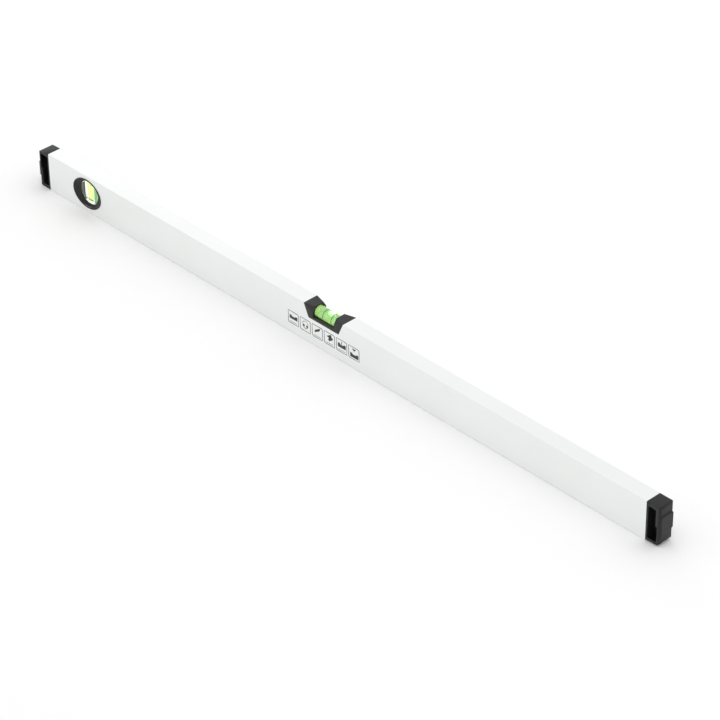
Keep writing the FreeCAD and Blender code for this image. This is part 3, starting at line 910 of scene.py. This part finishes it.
@dataclass
class PlumbVial:
    """The block vial with oval faces, between the two bezels."""

    acrylic: bpy.types.Material
    side_shade_paint: bpy.types.Material
    backing_and_glow: bpy.types.Material
    rim_glint: bpy.types.Material
    liquid: bpy.types.Material
    foot: bpy.types.Material
    plug: bpy.types.Material
    across: float = -409.0 * MM
    level: float = 25.9 * MM
    half_size: Point = (15.9 * MM, 15.3 * MM)
    corner: float = 7.0 * MM
    depth: float = 14.0 * MM
    face_rise: float = 0.9 * MM
    face_inset: float = 0.1 * MM
    chamfer: float = 0.7 * MM
    paint_from: float = -423.5 * MM
    bore: Point = (4.75 * MM, 4.95 * MM)
    floor: float = 4.2 * MM
    foot_height: float = 0.5 * MM
    plug_sink: float = 0.9 * MM
    plug_length: float = 3.0 * MM
    gas_height: float = 1.9 * MM

    def build(self) -> None:
        """Builds the block, the liquid and the plug."""
        block = add_object("plumb_vial_block", self.block_mesh())
        for material in (self.acrylic, self.side_shade_paint, self.backing_and_glow, self.rim_glint):
            block.data.materials.append(material)
        attach(block, self.acrylic, "vial_acrylic", "plumb_vial_body")

        low = self.level - self.half_size[1] + self.floor
        top = self.level + self.half_size[1] - self.plug_sink
        seat = top - self.plug_length
        inside = barrel(low, seat - self.gas_height, self.bore, seat, self.foot_height)
        centre = Vector((self.across, 0.0, 0.0))
        liquid = turned("plumb_vial_spirit", inside, centre, Axis.UPRIGHT, 72)
        for material in (self.liquid, self.foot):
            liquid.data.materials.append(material)
        # Front faces of the liquid's foot band take the painted foot shade.
        for face in liquid.data.polygons:
            middle = face.center
            in_foot_shade = low < middle.z < low + self.foot_height and middle.y < 0.0
            face.material_index = int(in_foot_shade)
        attach(liquid, self.liquid, "vial_liquid", "plumb_vial_liquid")

        stopper = rod(seat, top, self.bore[0] - PLUG_GAP)
        plug = turned("plumb_vial_stopper", stopper, centre, Axis.UPRIGHT)
        attach(plug, self.plug, "vial_plug", "plumb_vial_plug")

    def block_mesh(self) -> bpy.types.Mesh:
        """Makes the block: a slab with rounded corners and a raised oval face on each side.

        Returns:
            The mesh, with the clear material, the painted side shade, the white back paint and
            the painted rim glint in this order.
        """
        half = self.depth / 2
        slab = half - self.face_rise
        corners = self.slab_outline()
        inset, cut = self.face_inset, self.face_inset + self.chamfer
        layers = [(-half, cut), (self.chamfer - half, inset), (-slab, inset), (-slab, None)]
        layers += [(-depth, ring) for depth, ring in reversed(layers)]
        shape = bmesh.new()
        rings = []
        for depth, ring_inset in layers:
            ring = []
            for across, up in corners:
                if ring_inset is not None:
                    turn = math.atan2(up / self.half_size[1], across / self.half_size[0])
                    across = (self.half_size[0] - ring_inset) * math.cos(turn)
                    up = (self.half_size[1] - ring_inset) * math.sin(turn)
                ring.append(shape.verts.new((self.across + across, depth, self.level + up)))
            rings.append(ring)
        count = len(corners)
        # The faces of the front chamfer in this range take the painted rim glint.
        lit = range(2 * count // 5, 3 * count // 4)
        for index, (first, second) in enumerate(zip(rings, rings[1:])):
            for step in range(count):
                following = (step + 1) % count
                quad = (first[step], first[following], second[following], second[step])
                face = shape.faces.new(quad)
                face.normal_update()
                # The slab's side band takes the painted side shade where it faces along X, and
                # the bands behind it take the white back paint.
                if index > 3:
                    face.material_index = 2
                elif index == 3 and abs(face.normal.x) > 0.3:
                    face.material_index = 1
                elif index == 0 and step in lit:
                    face.material_index = 3
        shape.faces.new(rings[0])
        shape.faces.new(rings[-1]).material_index = 2
        # The back is cut at paint_from; left of it the back takes the painted side shade in place
        # of the white paint.
        whole = [*shape.verts, *shape.edges, *shape.faces]
        edge, right = (self.paint_from, 0.0, 0.0), (1.0, 0.0, 0.0)
        bmesh.ops.bisect_plane(shape, geom=whole, plane_co=edge, plane_no=right)
        for face in shape.faces:
            if face.material_index == 2 and face.calc_center_median().x < self.paint_from:
                face.material_index = 1
        return finish_mesh("plumb_vial_block", shape, SHARP_ANGLE)

    def slab_outline(self) -> list[Point]:
        """Gives the slab's rounded outline about its middle.

        Returns:
            Points across and up, anticlockwise.
        """
        steps = 24
        across, up = (size - self.corner for size in self.half_size)
        points = []
        for quarter, (side, rise) in enumerate(((1, 1), (-1, 1), (-1, -1), (1, -1))):
            for step in range(steps + 1):
                turn = math.pi / 2 * (quarter + step / steps)
                right = side * across + self.corner * math.cos(turn)
                points.append((right, rise * up + self.corner * math.sin(turn)))
        return points


STEPPED_SECTION = [
    (0.22, 0.66), (0.65, 0.94), (0.73, 0.73), (0.88, 0.62), (0.5, 0.32), (0.38, 0.42), (0.44, 0.6)
]


@dataclass
class PrintedRow:
    """The row of six small boxes with generic signs, printed on the front."""

    line_ink: bpy.types.Material
    sign_ink: bpy.types.Material
    pale_ink: bpy.types.Material
    left: float = -57.77 * MM
    pitch: float = 19.607 * MM
    width: float = 16.62 * MM
    low: float = 12.39 * MM
    high: float = 28.23 * MM
    stroke: float = 0.95 * MM
    corner: float = 2.2 * MM
    rise: float = 0.015 * MM
    count: int = 6

    def build(self) -> None:
        """Builds the frames of the boxes, then each box's sign."""
        frames = bake_nodes(
            "printed_frames",
            frame_row_tree(),
            {
                "Width": self.width,
                "Height": self.high - self.low,
                "Corner": self.corner,
                "Stroke": self.stroke,
                "Pitch": self.pitch,
                "Count": self.count,
                "Left": self.left + self.width / 2,
                "Level": (self.low + self.high) / 2,
                "Face": FRONT - self.rise,
                "Material": self.line_ink,
            },
        )
        attach(frames, self.line_ink, "black_plastic")
        for index, shapes in enumerate(self.signs()):
            dark = self.sign(f"printed_sign_{index + 1}", index, shapes, self.rise)
            attach(dark, self.sign_ink, "black_plastic")
            marks = self.pale_marks(index)
            pale = self.sign(f"pale_sign_{index + 1}", index, marks, self.rise / 2)
            attach(pale, self.pale_ink, "black_plastic")

    def sign(
        self, name: str, index: int, outlines: Sequence[Sequence[Point]], rise: float
    ) -> bpy.types.Object:
        """Makes the flat shapes of one ink in one box.

        Args:
            name: The piece's name.
            index: Which box the shapes are in.
            outlines: The shapes, each of points across and up the box from 0 to 1.
            rise: How far the ink stands off the face.

        Returns:
            The object.
        """
        start = self.left + self.pitch * index
        height = self.high - self.low
        shape = bmesh.new()
        for outline in outlines:
            places = [
                (start + self.width * across, FRONT - rise, self.low + height * up)
                for across, up in outline
            ]
            face = shape.faces.new([shape.verts.new(place) for place in places])
            face.normal_update()
            if face.normal.y > 0:
                face.normal_flip()
        return add_object(name, plain_mesh(name, shape))

    def pale_marks(self, index: int) -> list[list[Point]]:
        """Gives a box's fainter shapes: a foot line, or two arcs in the second box."""
        if index == 1:
            return [*arch(0.51, 0.42, 0.23, 0.07, math.pi), *arch(0.51, 0.55, 0.3, 0.05, 0.0)]
        return [bar(0.15, 0.11, 0.85, 0.16)]

    def signs(self) -> list[list[list[Point]]]:
        """Gives the signs' flat shapes, box by box.

        Returns:
            For each box a list of outlines.
        """
        return [
            notched(0.13, 0.38, 0.9, 0.7),
            [blob(0.34, 0.44, 0.11), blob(0.68, 0.44, 0.11)],
            [slanted(0.25, 0.47, 0.76, 0.81, 0.21)],
            [STEPPED_SECTION],
            [*notched(0.14, 0.35, 0.9, 0.7), bar(0.455, 0.62, 0.53, 0.86)],
            [
                *notched(0.14, 0.14, 0.93, 0.48),
                bar(0.36, 0.79, 0.68, 0.87),
                bar(0.44, 0.71, 0.62, 0.79),
            ],
        ]


def bar(left: float, low: float, right: float, high: float) -> list[Point]:
    """Gives an upright rectangle's corners."""
    return [(left, low), (right, low), (right, high), (left, high)]


def slanted(left: float, low: float, right: float, high: float, thick: float) -> list[Point]:
    """Gives a bar that rises from one end to the other."""
    half = thick / 2
    return [(left, low - half), (right, high - half), (right, high + half), (left, low + half)]


def notched(left: float, low: float, right: float, high: float) -> list[list[Point]]:
    """Gives a bar whose top is notched in the middle."""
    floor = low + (high - low) * 0.72
    third = (right - left) / 3
    return [
        bar(left, low, right, floor),
        [(left, floor), (left + third, floor), (left + third * 0.7, high), (left, high)],
        [(right - third, floor), (right, floor), (right, high), (right - third * 0.7, high)],
    ]


def blob(across: float, up: float, reach: float) -> list[Point]:
    """Gives an eight-sided spot."""
    turns = [math.tau * (step + 0.5) / 8 for step in range(8)]
    return [(across + reach * math.cos(turn), up + reach * math.sin(turn)) for turn in turns]


def arch(
    across: float, up: float, reach: float, thick: float, start: float
) -> list[list[Point]]:
    """Gives a half ring in short pieces.

    Args:
        across: The ring's middle across the box.
        up: The ring's middle up the box.
        reach: Its outer radius.
        thick: Its thickness.
        start: The angle where it starts.

    Returns:
        The pieces' outlines.
    """
    steps = 10
    turns = [start + math.pi * step / steps for step in range(steps + 1)]
    outer, inner = (
        [(across + math.cos(turn) * radius, up + math.sin(turn) * radius) for turn in turns]
        for radius in (reach, reach - thick)
    )
    return [[outer[i], outer[i + 1], inner[i + 1], inner[i]] for i in range(steps)]


# Node trees


def geometry_tree(
    name: str, numbers: Sequence[str], counts: Sequence[str] = ()
) -> bpy.types.NodeTree:
    """Starts a geometry node tree.

    Args:
        name: The tree's name.
        numbers: Its inputs that are plain numbers.
        counts: Its inputs that are whole numbers.

    Returns:
        The tree, with its input and output nodes named "in" and "out" and a Material input.
    """
    tree = bpy.data.node_groups.new(name, "GeometryNodeTree")
    kinds = {"Geometry": "NodeSocketGeometry", "Material": "NodeSocketMaterial"}
    kinds |= dict.fromkeys(numbers, "NodeSocketFloat") | dict.fromkeys(counts, "NodeSocketInt")
    for label, kind in kinds.items():
        tree.interface.new_socket(label, in_out="INPUT", socket_type=kind)
    tree.interface.new_socket("Geometry", in_out="OUTPUT", socket_type="NodeSocketGeometry")
    tree.nodes.new("NodeGroupInput").name = "in"
    tree.nodes.new("NodeGroupOutput").name = "out"
    return tree


def combine_node(tree: bpy.types.NodeTree, **parts: Given) -> bpy.types.NodeSocket:
    """Adds a Combine XYZ node and gives its vector."""
    return add_node(tree, "ShaderNodeCombineXYZ", **parts).outputs[0]


def end_tree(
    tree: bpy.types.NodeTree, line: bpy.types.Node, sweep: bpy.types.Node, turn: Place
) -> None:
    """Puts copies of a swept mesh on a line's points, and ends in real, inked meshes.

    Args:
        tree: The tree.
        line: The line's node.
        sweep: The swept mesh's node.
        turn: How each copy is turned, in radians.
    """
    points, mesh = line.outputs["Mesh"], sweep.outputs["Mesh"]
    ink = tree.nodes["in"].outputs["Material"]
    copies = add_node(
        tree, "GeometryNodeInstanceOnPoints", Points=points, Instance=mesh, Rotation=turn
    )
    whole = add_node(tree, "GeometryNodeRealizeInstances", copies.outputs["Instances"])
    geometry = whole.outputs["Geometry"]
    inked = add_node(tree, "GeometryNodeSetMaterial", Geometry=geometry, Material=ink)
    fill(tree, tree.nodes["out"], inked.outputs["Geometry"])


def ring_tree() -> bpy.types.NodeTree:
    """Builds the tree for the two ring lines about a level axis.

    Returns:
        The tree.
    """
    numbers = ("Radius", "Width", "Thickness", "Gap", "Middle", "Height")
    tree = geometry_tree("vial_ring_lines", numbers)
    given = tree.nodes["in"].outputs
    circle = add_node(
        tree, "GeometryNodeCurvePrimitiveCircle", Resolution=72, Radius=given["Radius"]
    )
    band = add_node(
        tree,
        "GeometryNodeCurvePrimitiveQuadrilateral",
        Width=given["Thickness"],
        Height=given["Width"],
    )
    sweep = add_node(
        tree, "GeometryNodeCurveToMesh", circle.outputs["Curve"], band.outputs["Curve"]
    )
    first, last = (
        combine_node(
            tree,
            X=math_node(tree, "MULTIPLY_ADD", given["Gap"], share, given["Middle"]),
            Z=given["Height"],
        )
        for share in (-0.5, 0.5)
    )
    line = add_node(
        tree,
        "GeometryNodeMeshLine",
        modes={"mode": "END_POINTS"},
        Count=2,
        Start_Location=first,
        Offset=last,
    )
    end_tree(tree, line, sweep, (0.0, math.pi / 2, 0.0))
    return tree


def frame_row_tree() -> bpy.types.NodeTree:
    """Builds the tree for a row of printed frames on an upright face.

    Returns:
        The tree.
    """
    numbers = ("Width", "Height", "Corner", "Stroke", "Pitch", "Left", "Level", "Face")
    tree = geometry_tree("printed_frame_row", numbers, ("Count",))
    given = tree.nodes["in"].outputs
    outline = add_node(
        tree,
        "GeometryNodeCurvePrimitiveQuadrilateral",
        Width=given["Width"],
        Height=given["Height"],
    )
    index = add_node(tree, "GeometryNodeInputIndex").outputs["Index"]
    even = math_node(tree, "SUBTRACT", 1.0, math_node(tree, "MODULO", index, 2.0))
    round_off = add_node(
        tree,
        "GeometryNodeFilletCurve",
        modes={"mode": "POLY"},
        Curve=outline.outputs["Curve"],
        Count=6,
        Radius=math_node(tree, "MULTIPLY", even, given["Corner"]),
    )
    start, end = (
        combine_node(tree, X=math_node(tree, "MULTIPLY", given["Stroke"], share))
        for share in (-0.5, 0.5)
    )
    stroke = add_node(tree, "GeometryNodeCurvePrimitiveLine", start, end)
    sweep = add_node(
        tree, "GeometryNodeCurveToMesh", round_off.outputs["Curve"], stroke.outputs["Curve"]
    )
    line = add_node(
        tree,
        "GeometryNodeMeshLine",
        modes={"mode": "OFFSET"},
        Count=given["Count"],
        Start_Location=combine_node(tree, X=given["Left"], Y=given["Face"], Z=given["Level"]),
        Offset=combine_node(tree, X=given["Pitch"]),
    )
    end_tree(tree, line, sweep, (math.pi / 2, 0.0, 0.0))
    return tree


def bake_nodes(
    name: str, tree: bpy.types.NodeTree, values: dict[str, float | int | bpy.types.Material]
) -> bpy.types.Object:
    """Runs a node tree on an empty object and keeps its result as a plain mesh.

    Args:
        name: The object's name.
        tree: The tree.
        values: The tree's inputs by name.

    Returns:
        The object, with the result as its mesh.
    """
    holder = add_object(name, bpy.data.meshes.new(name))
    modifier = holder.modifiers.new(tree.name, "NODES")
    modifier.node_group = tree
    for item in tree.interface.items_tree:
        if item.item_type == "SOCKET" and item.in_out == "INPUT" and item.name in values:
            modifier[item.identifier] = values[item.name]
    bpy.context.view_layer.update()
    depsgraph = bpy.context.evaluated_depsgraph_get()
    result = holder.evaluated_get(depsgraph)
    mesh = bpy.data.meshes.new_from_object(result, depsgraph=depsgraph)
    holder.modifiers.remove(modifier)
    holder.data = mesh
    mesh.name = name
    return holder


# Studio


@dataclass(frozen=True)
class Softbox:
    """A square soft light, with its side in metres and its power in watts."""

    name: str
    place: Place
    size: float
    power: float

    def build(self) -> None:
        """Hangs the light so that it faces the level."""
        data = bpy.data.lights.new(self.name, "AREA")
        data.shape = "SQUARE"
        data.size = self.size
        data.energy = self.power
        light = bpy.data.objects.new(self.name, data)
        light.location = self.place
        light.rotation_euler = (-Vector(self.place)).to_track_quat("-Z", "Y").to_euler()
        bpy.context.scene.collection.objects.link(light)


@dataclass
class Studio:
    """The pale floor, the soft lights and the camera of the photograph."""

    place: Place = (2.15797456, -1.98648292, 2.02675245)
    forward: Place = (-0.59734415, 0.56222116, -0.57191549)
    right: Place = (0.69189766, 0.7218782, -0.0130191)
    lens: float = 159.755
    sensor: float = 36.0
    clip: Point = (0.1, 50.0)
    sky: float = 0.9
    floor_reach: float = 8.0
    floor_drop: float = 0.2 * MM
    floor_tone: Colour = (0.99, 0.99, 0.99)
    floor_roughness: float = 0.9
    lights: tuple[Softbox, ...] = (
        Softbox("overhead_softbox", (0.5, 0.3, 2.4), 2.4, 8.5),
        Softbox("low_back_softbox", (-2.2, 1.2, 0.9), 1.2, 4.5),
    )

    def build(self) -> None:
        """Builds the camera, the floor, the white surround and the lights."""
        self.build_camera()
        self.build_floor()
        world = bpy.data.worlds.new("studio_surround")
        world.use_nodes = True
        background = world.node_tree.nodes["Background"]
        background.inputs["Color"].default_value = (1.0, 1.0, 1.0, 1.0)
        background.inputs["Strength"].default_value = self.sky
        bpy.context.scene.world = world
        for light in self.lights:
            light.build()
        bpy.context.scene.view_settings.view_transform = "Standard"
        LOG.info("studio ready")

    def build_camera(self) -> None:
        """Places the camera as it stood for the photograph."""
        data = bpy.data.cameras.new("photo_camera")
        data.lens = self.lens
        data.sensor_width = self.sensor
        data.sensor_fit = "HORIZONTAL"
        data.clip_start, data.clip_end = self.clip
        camera = bpy.data.objects.new("photo_camera", data)
        bpy.context.scene.collection.objects.link(camera)
        back = -Vector(self.forward).normalized()
        right = Vector(self.right).normalized()
        up = back.cross(right).normalized()
        turn = Matrix((right, up, back)).transposed().to_4x4()
        camera.matrix_world = Matrix.Translation(Vector(self.place)) @ turn
        bpy.context.scene.camera = camera

    def build_floor(self) -> None:
        """Lays a wide matt floor just under the level."""
        shape = bmesh.new()
        below = Matrix.Translation((0.0, 0.0, -self.floor_drop))
        bmesh.ops.create_grid(
            shape, x_segments=1, y_segments=1, size=self.floor_reach, matrix=below
        )
        floor = add_object("studio_floor", plain_mesh("studio_floor", shape))
        material, shader = new_material("pale_floor")
        shader.inputs["Base Color"].default_value = (*self.floor_tone, 1.0)
        shader.inputs["Roughness"].default_value = self.floor_roughness
        floor.data.materials.append(material)


def main() -> None:
    """Builds the looks of the level, piece by piece."""
    logging.basicConfig(level=logging.INFO, format="%(message)s")
    for item in list(bpy.data.objects):
        bpy.data.objects.remove(item)
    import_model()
    groups = Groups(grain_group(), streak_group())
    looks = {finish.name: finish.build(groups) for finish in FINISHES}

    dress("profile", looks["satin_aluminium"])
    for index in range(1, 5):
        dress(f"magnet_{index}", looks["nickel_plate"])
        dress(f"magnet_cup_{index}", looks["cap_moulding"])
    BlackMouldings(
        black=looks["cap_moulding"], grey=looks["saddle_moulding"], painted_shade_in_pockets=looks["pocket_shade"]
    ).build()
    LevelVial(
        acrylic=looks["clear_acrylic"],
        liquid=looks["vial_spirit"],
        bubble_highlight=looks["bubble_gas_painted_highlight"],
        ring_ink=looks["ring_ink"],
        plug=looks["plug_plastic"],
    ).build()
    PlumbVial(
        acrylic=looks["block_acrylic"],
        side_shade_paint=looks["painted_side_shade"],
        backing_and_glow=looks["white_back_paint_and_glow"],
        rim_glint=looks["block_rim_painted_glint"],
        liquid=looks["plumb_spirit"],
        foot=looks["painted_foot_shade"],
        plug=looks["plug_plastic"],
    ).build()
    PrintedRow(
        line_ink=looks["line_ink"], sign_ink=looks["sign_ink"], pale_ink=looks["pale_ink"]
    ).build()
    Studio().build()


if __name__ == "__main__":
    main()
